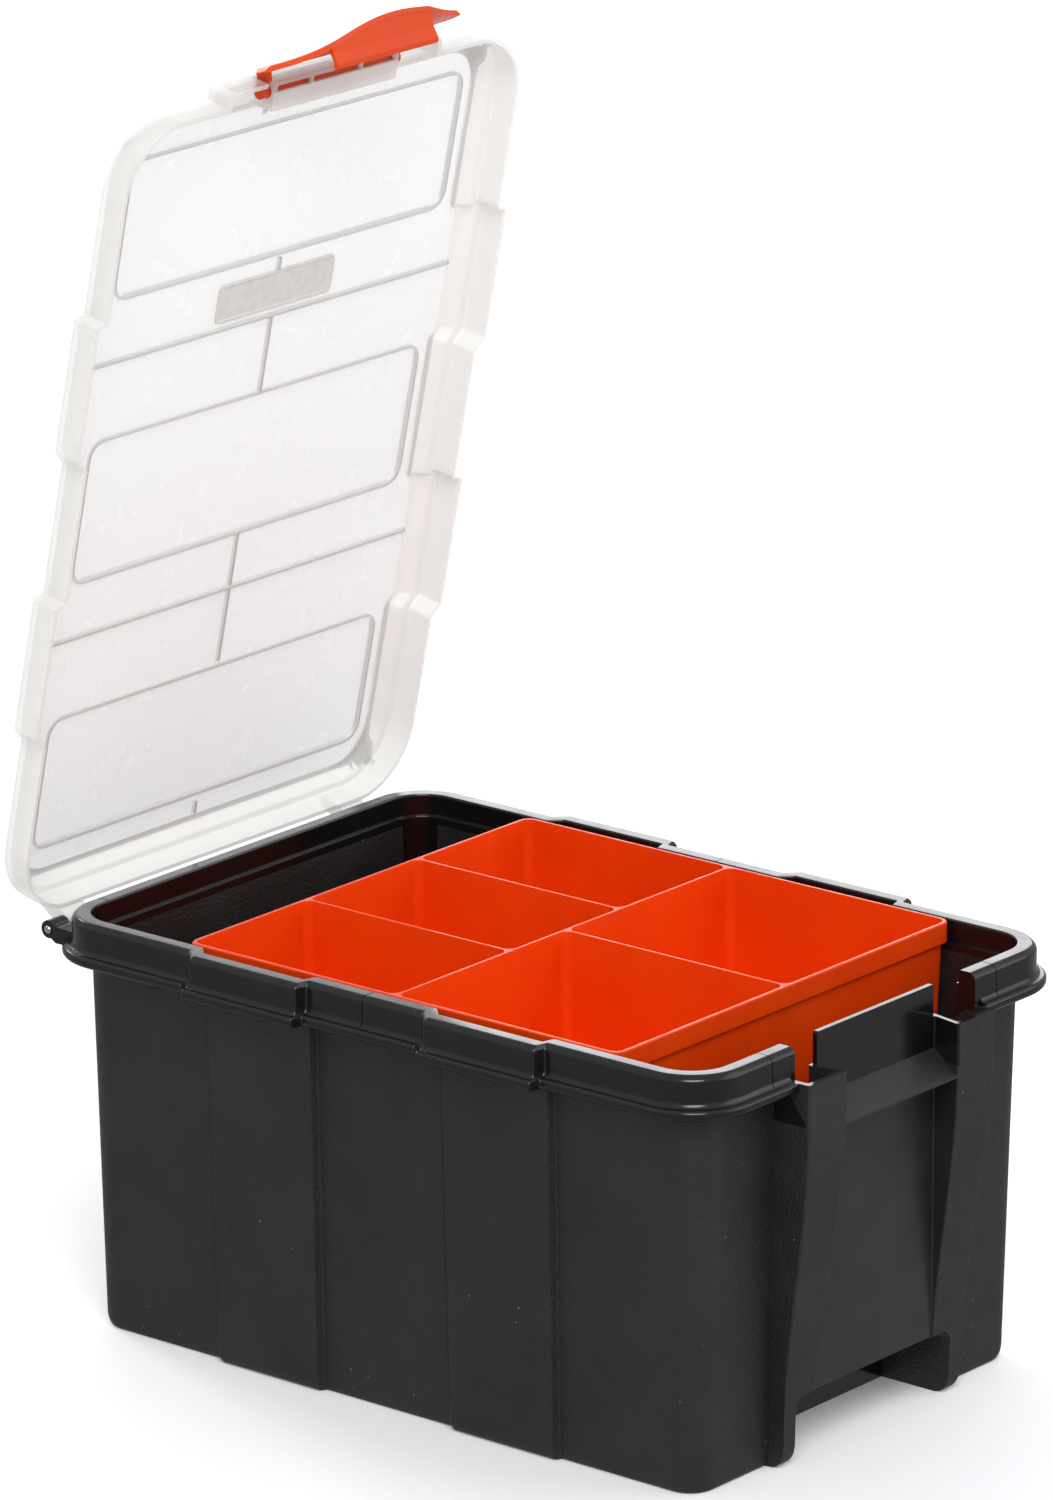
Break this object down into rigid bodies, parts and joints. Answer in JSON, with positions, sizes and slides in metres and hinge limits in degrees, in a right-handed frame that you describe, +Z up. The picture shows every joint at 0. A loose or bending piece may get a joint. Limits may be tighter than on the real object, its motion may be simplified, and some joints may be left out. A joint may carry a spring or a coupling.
{
  "type": "fishing tackle box",
  "caption": "Portable tackle box: black tub with a lift-out divided orange tray, hinged translucent lid and a snap latch at one end.",
  "frame": {"origin": "centre of the base, on the surface it stands on", "axes": "+Z up, -Y towards the latch end, +Y towards the hinge end, +X to the right seen from the latch end"},
  "size_m": [0.2226, 0.3256, 0.472],
  "materials": {
    "black_plastic": "fine-grained moulded black plastic with a smoother rim",
    "clear_plastic": "milky translucent moulded plastic",
    "orange_plastic": "semi-gloss moulded orange plastic",
    "pin_steel": "plain drawn steel wire",
    "label_grey": "blank matt label"
  },
  "bodies": {
    "tub": {"body_tub": "black_plastic", "hinge_pin_left": "pin_steel", "hinge_pin_right": "pin_steel"},
    "lid": {"lid": "clear_plastic", "label_plate": "label_grey"},
    "latch": {"latch": "orange_plastic"},
    "tray": {"tray": "orange_plastic"}
  },
  "joints": [
    {"name": "lid_hinge", "type": "hinge", "parent": "tub", "child": "lid", "pos_m": [0, 0.1563, 0.1449], "axis": [1, 0, 0], "range_deg": [-20, 78.4]},
    {"name": "latch_pivot", "type": "hinge", "parent": "lid", "child": "latch", "pos_m": [0, 0.10038, 0.44764], "axis": [1, 0, 0], "range_deg": [-30, 30]},
    {"name": "tray_slide", "type": "slide", "parent": "tub", "child": "tray", "axis": [0, 1, 0], "range_m": [-0.025, 0.042]}
  ]
}
